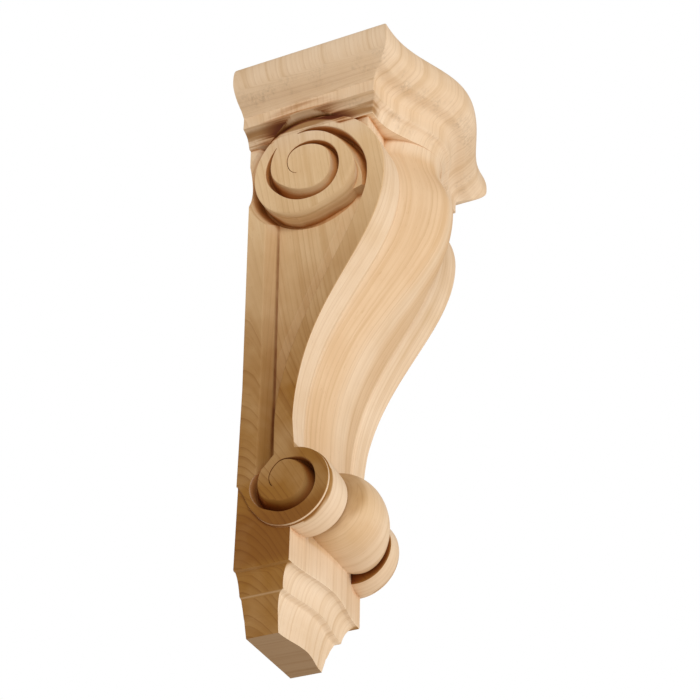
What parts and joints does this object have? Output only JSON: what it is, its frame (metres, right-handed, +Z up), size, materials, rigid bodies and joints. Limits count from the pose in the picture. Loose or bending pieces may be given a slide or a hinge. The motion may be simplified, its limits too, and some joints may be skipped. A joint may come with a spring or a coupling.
{
  "type": "wooden corbel bracket",
  "caption": "Scroll corbel carved from one block of pale maple, with a moulded cap, sunk side panels, a swelled front, a lower roll and a stepped foot.",
  "frame": {"origin": "centre of the flat back face, at half the corbel's height", "axes": "+Z up, +Y into the wall that the back is fixed to, +X along the corbel's width"},
  "size_m": [0.2434, 0.1891, 0.56],
  "materials": {
    "maple": "raw pale maple, machine carved and sanded, unfinished"
  },
  "bodies": {
    "root": {"corbel": "maple"}
  },
  "joints": []
}
